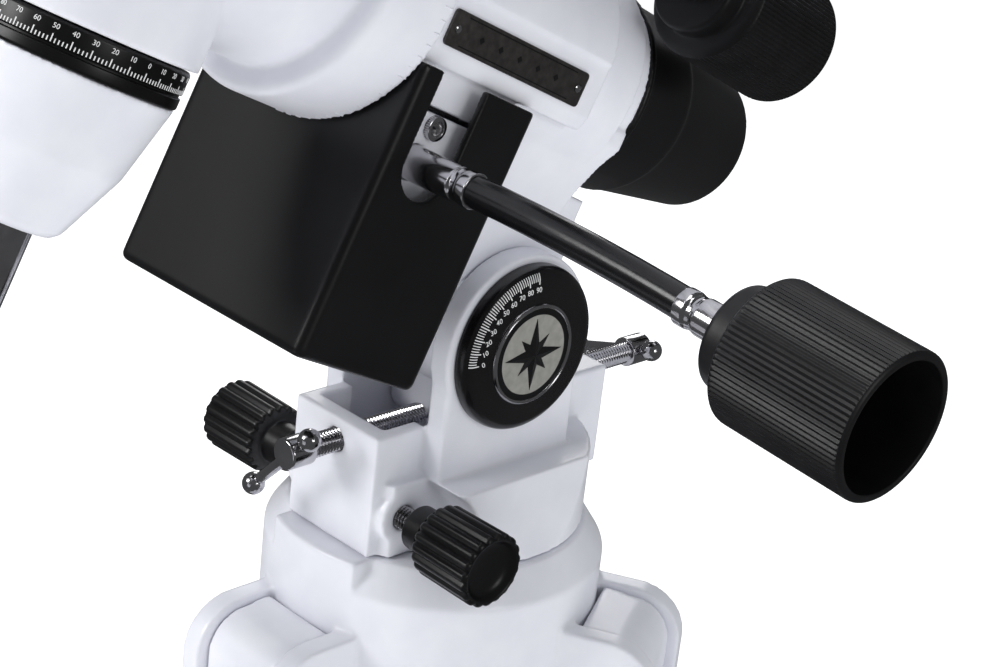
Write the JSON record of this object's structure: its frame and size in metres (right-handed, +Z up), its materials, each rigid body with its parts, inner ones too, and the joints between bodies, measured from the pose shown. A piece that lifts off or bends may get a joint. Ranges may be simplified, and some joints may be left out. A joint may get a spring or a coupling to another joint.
{
  "type": "equatorial telescope",
  "caption": "White refractor telescope on an equatorial mount with slow-motion control shafts and counterweight, on a three-legged field tripod with tray.",
  "frame": {"origin": "on the floor under the azimuth axis, midway between the three feet", "axes": "+Z up, +Y north towards the pole (the polar axis leans that way), +X east"},
  "size_m": [0.6342, 0.9611, 1.3528],
  "materials": {
    "white_powder_coat": "powder-coated cast aluminium",
    "white_enamel": "smooth white enamel",
    "black_abs": "satin moulded ABS",
    "black_gloss": "gloss moulded plastic",
    "black_grip": "fine-ribbed moulded plastic",
    "black_vinyl": "vinyl sleeve with crimped steel ferrules",
    "chrome_steel": "bright plated steel",
    "stainless_tube": "brushed stainless steel",
    "inner_tube_and_foot": "brushed stainless steel with a rubber foot",
    "worm_steel": "ground steel",
    "silver_plate": "brushed aluminium",
    "black_anodised": "black anodised aluminium",
    "chrome_tube": "polished chrome",
    "grey_iron": "white enamelled cast iron",
    "lens_glass": "coated glass"
  },
  "bodies": {
    "tripod_head": {"tripod_head": "white_powder_coat", "centre_rod": "chrome_steel", "leg_hinge_bolts": "chrome_steel"},
    "leg_north": {"leg_castings_north": "white_powder_coat", "leg_tube_north": "stainless_tube"},
    "leg_west": {"leg_castings_west": "white_powder_coat", "leg_tube_west": "stainless_tube"},
    "leg_east": {"leg_castings_east": "white_powder_coat", "leg_tube_east": "stainless_tube"},
    "brace_hub": {"brace_hub": "black_abs", "accessory_tray": "black_abs"},
    "brace_north": {"brace_north": "stainless_tube"},
    "inner_leg_north": {"inner_leg_north": "inner_tube_and_foot"},
    "leg_clamp_north": {"leg_clamp_knob_north": "black_grip"},
    "brace_west": {"brace_west": "stainless_tube"},
    "inner_leg_west": {"inner_leg_west": "inner_tube_and_foot"},
    "leg_clamp_west": {"leg_clamp_knob_west": "black_grip"},
    "brace_east": {"brace_east": "stainless_tube"},
    "inner_leg_east": {"inner_leg_east": "inner_tube_and_foot"},
    "leg_clamp_east": {"leg_clamp_knob_east": "black_grip"},
    "mount_base": {"mount_base": "white_powder_coat", "latitude_pivot": "chrome_steel", "latitude_disc": "black_gloss", "pivot_cap": "black_gloss"},
    "azimuth_screws": {"azimuth_screws": "black_gloss"},
    "polar_head": {"polar_housing": "white_powder_coat", "name_plate": "silver_plate", "worm_carrier": "white_enamel", "motor_cover": "black_abs", "polar_scope_cover": "black_abs", "ra_control_shaft": "black_vinyl"},
    "front_t_bolt": {"front_t_bolt": "chrome_steel"},
    "front_t_bar": {"front_t_bar": "chrome_steel"},
    "rear_t_bolt": {"rear_t_bolt": "chrome_steel"},
    "rear_t_bar": {"rear_t_bar": "chrome_steel"},
    "ra_hand_knob": {"ra_hand_knob": "black_grip"},
    "ra_worm": {"ra_worm": "worm_steel"},
    "ra_head": {"dec_housing": "white_powder_coat", "polar_shaft": "worm_steel", "dec_control_shaft": "black_vinyl"},
    "dec_hand_knob": {"dec_hand_knob": "black_grip"},
    "dec_worm": {"dec_worm": "worm_steel"},
    "dec_axis": {"dec_shaft": "worm_steel", "setting_circle": "black_anodised", "shaft_base": "white_powder_coat", "counterweight_shaft": "chrome_steel", "saddle": "white_powder_coat", "dovetail_bar": "black_anodised", "tube_rings": "white_powder_coat", "optical_tube": "white_enamel", "dew_shield": "white_enamel", "objective_lens": "lens_glass", "focuser": "black_anodised"},
    "counterweight": {"counterweight": "grey_iron"},
    "counterweight_knob": {"counterweight_knob": "black_grip"},
    "saddle_knob": {"saddle_knob": "black_grip"},
    "draw_tube": {"draw_tube": "chrome_tube", "star_diagonal": "black_anodised", "eyepiece": "black_anodised"},
    "focus_knobs": {"focus_knobs": "black_grip"}
  },
  "joints": [
    {"name": "leg_fold_north", "type": "hinge", "parent": "tripod_head", "child": "leg_north", "pos_m": [0, 0.07, 0.64717], "axis": [-1, 0, 0], "range_deg": [0, 12]},
    {"name": "leg_fold_west", "type": "hinge", "parent": "tripod_head", "child": "leg_west", "pos_m": [-0.06062, -0.035, 0.64717], "axis": [0.5, -0.866, 0], "range_deg": [0, 12]},
    {"name": "leg_fold_east", "type": "hinge", "parent": "tripod_head", "child": "leg_east", "pos_m": [0.06062, -0.035, 0.64717], "axis": [0.5, 0.866, 0], "range_deg": [0, 12]},
    {"name": "brace_hub_slide", "type": "slide", "parent": "tripod_head", "child": "brace_hub", "axis": [0, 0, 1], "range_m": [0, 0.0689]},
    {"name": "brace_pivot_north", "type": "hinge", "parent": "brace_hub", "child": "brace_north", "pos_m": [0, 0.0355, 0.24201], "axis": [-1, 0, 0], "range_deg": [0, 33.94]},
    {"name": "leg_extend_north", "type": "slide", "parent": "leg_north", "child": "inner_leg_north", "axis": [0, 0.3746, -0.9272], "range_m": [0, 0.3]},
    {"name": "leg_clamp_turn_north", "type": "hinge", "parent": "leg_north", "child": "leg_clamp_north", "pos_m": [0, 0.34599, 0.09754], "axis": [0, 0.9272, 0.3746], "continuous": true},
    {"name": "brace_pivot_west", "type": "hinge", "parent": "brace_hub", "child": "brace_west", "pos_m": [-0.03074, -0.01775, 0.24201], "axis": [0.5, -0.866, 0], "range_deg": [0, 33.94]},
    {"name": "leg_extend_west", "type": "slide", "parent": "leg_west", "child": "inner_leg_west", "axis": [-0.3244, -0.1873, -0.9272], "range_m": [0, 0.3]},
    {"name": "leg_clamp_turn_west", "type": "hinge", "parent": "leg_west", "child": "leg_clamp_west", "pos_m": [-0.29964, -0.173, 0.09754], "axis": [-0.803, -0.4636, 0.3746], "continuous": true},
    {"name": "brace_pivot_east", "type": "hinge", "parent": "brace_hub", "child": "brace_east", "pos_m": [0.03074, -0.01775, 0.24201], "axis": [0.5, 0.866, 0], "range_deg": [0, 33.94]},
    {"name": "leg_extend_east", "type": "slide", "parent": "leg_east", "child": "inner_leg_east", "axis": [0.3244, -0.1873, -0.9272], "range_m": [0, 0.3]},
    {"name": "leg_clamp_turn_east", "type": "hinge", "parent": "leg_east", "child": "leg_clamp_east", "pos_m": [0.29964, -0.173, 0.09754], "axis": [0.803, -0.4636, 0.3746], "continuous": true},
    {"name": "azimuth", "type": "hinge", "parent": "tripod_head", "child": "mount_base", "pos_m": [0, 0, 0.70717], "axis": [0, 0, 1], "range_deg": [-8, 8]},
    {"name": "azimuth_screws_slide", "type": "slide", "parent": "mount_base", "child": "azimuth_screws", "axis": [1, 0, 0], "range_m": [-0.0056, 0.0056]},
    {"name": "latitude", "type": "hinge", "parent": "mount_base", "child": "polar_head", "pos_m": [0, 0, 0.77517], "axis": [1, 0, 0], "range_deg": [-8, 32]},
    {"name": "front_bolt_travel", "type": "slide", "parent": "mount_base", "child": "front_t_bolt", "axis": [0, 1, 0], "range_m": [-0.005, 0.016]},
    {"name": "front_bar_slide", "type": "slide", "parent": "front_t_bolt", "child": "front_t_bar", "axis": [0.6947, 0, -0.7193], "range_m": [-0.0183, 0]},
    {"name": "rear_bolt_travel", "type": "slide", "parent": "mount_base", "child": "rear_t_bolt", "axis": [0, 1, 0], "range_m": [-0.004, 0.014]},
    {"name": "rear_bar_slide", "type": "slide", "parent": "rear_t_bolt", "child": "rear_t_bar", "axis": [0.9511, 0, -0.309], "range_m": [-0.0183, 0]},
    {"name": "ra_knob_turn", "type": "hinge", "parent": "polar_head", "child": "ra_hand_knob", "pos_m": [-0.1629, 0.06124, 0.84407], "axis": [-0.9967, 0, -0.0812], "continuous": true},
    {"name": "ra_worm_turn", "type": "hinge", "parent": "polar_head", "child": "ra_worm", "pos_m": [0, 0.06124, 0.8497], "axis": [-1, 0, 0], "continuous": true},
    {"name": "right_ascension", "type": "hinge", "parent": "polar_head", "child": "ra_head", "pos_m": [0, 0.05346, 0.89468], "axis": [0, 0.9011, 0.4337], "range_deg": [-65, 110]},
    {"name": "dec_knob_turn", "type": "hinge", "parent": "ra_head", "child": "dec_hand_knob", "pos_m": [-0.045, -0.04146, 0.89365], "axis": [0, -0.8883, -0.4593], "continuous": true},
    {"name": "dec_worm_turn", "type": "hinge", "parent": "ra_head", "child": "dec_worm", "pos_m": [-0.045, 0.11388, 0.97092], "axis": [0, -0.9011, -0.4337], "continuous": true},
    {"name": "declination", "type": "hinge", "parent": "ra_head", "child": "dec_axis", "pos_m": [0, 0.12559, 0.94659], "axis": [0, -0.4337, 0.9011], "continuous": true},
    {"name": "counterweight_slide", "type": "slide", "parent": "dec_axis", "child": "counterweight", "axis": [0, 0.4337, -0.9011], "range_m": [-0.06, 0.055]},
    {"name": "counterweight_knob_turn", "type": "hinge", "parent": "counterweight", "child": "counterweight_knob", "pos_m": [-0.055, 0.23747, 0.71412], "axis": [-1, 0, 0], "continuous": true},
    {"name": "saddle_knob_turn", "type": "hinge", "parent": "dec_axis", "child": "saddle_knob", "pos_m": [0.04, 0.0961, 1.00787], "axis": [1, 0, 0], "continuous": true},
    {"name": "focus_travel", "type": "slide", "parent": "dec_axis", "child": "draw_tube", "axis": [0, 0.9011, 0.4337], "range_m": [-0.04, 0.04]},
    {"name": "focus_knob_turn", "type": "hinge", "parent": "dec_axis", "child": "focus_knobs", "pos_m": [0, -0.24111, 0.89108], "axis": [1, 0, 0], "range_deg": [-300, 300]}
  ],
  "couplings": [
    {"joint": "leg_fold_west", "follows": "leg_fold_north", "ratio": 1},
    {"joint": "leg_fold_east", "follows": "leg_fold_north", "ratio": 1},
    {"joint": "brace_hub_slide", "follows": "leg_fold_north", "m_per_rad": 0.32666},
    {"joint": "brace_pivot_north", "follows": "leg_fold_north", "ratio": 2.8113},
    {"joint": "brace_pivot_west", "follows": "leg_fold_north", "ratio": 2.8113},
    {"joint": "brace_pivot_east", "follows": "leg_fold_north", "ratio": 2.8113},
    {"joint": "azimuth_screws_slide", "follows": "azimuth", "m_per_rad": 0.038},
    {"joint": "front_bolt_travel", "follows": "latitude", "m_per_rad": 0.027},
    {"joint": "rear_bolt_travel", "follows": "latitude", "m_per_rad": 0.024},
    {"joint": "ra_worm_turn", "follows": "ra_knob_turn", "ratio": 1},
    {"joint": "dec_worm_turn", "follows": "dec_knob_turn", "ratio": 1},
    {"joint": "focus_knob_turn", "follows": "focus_travel", "rad_per_m": 125}
  ]
}
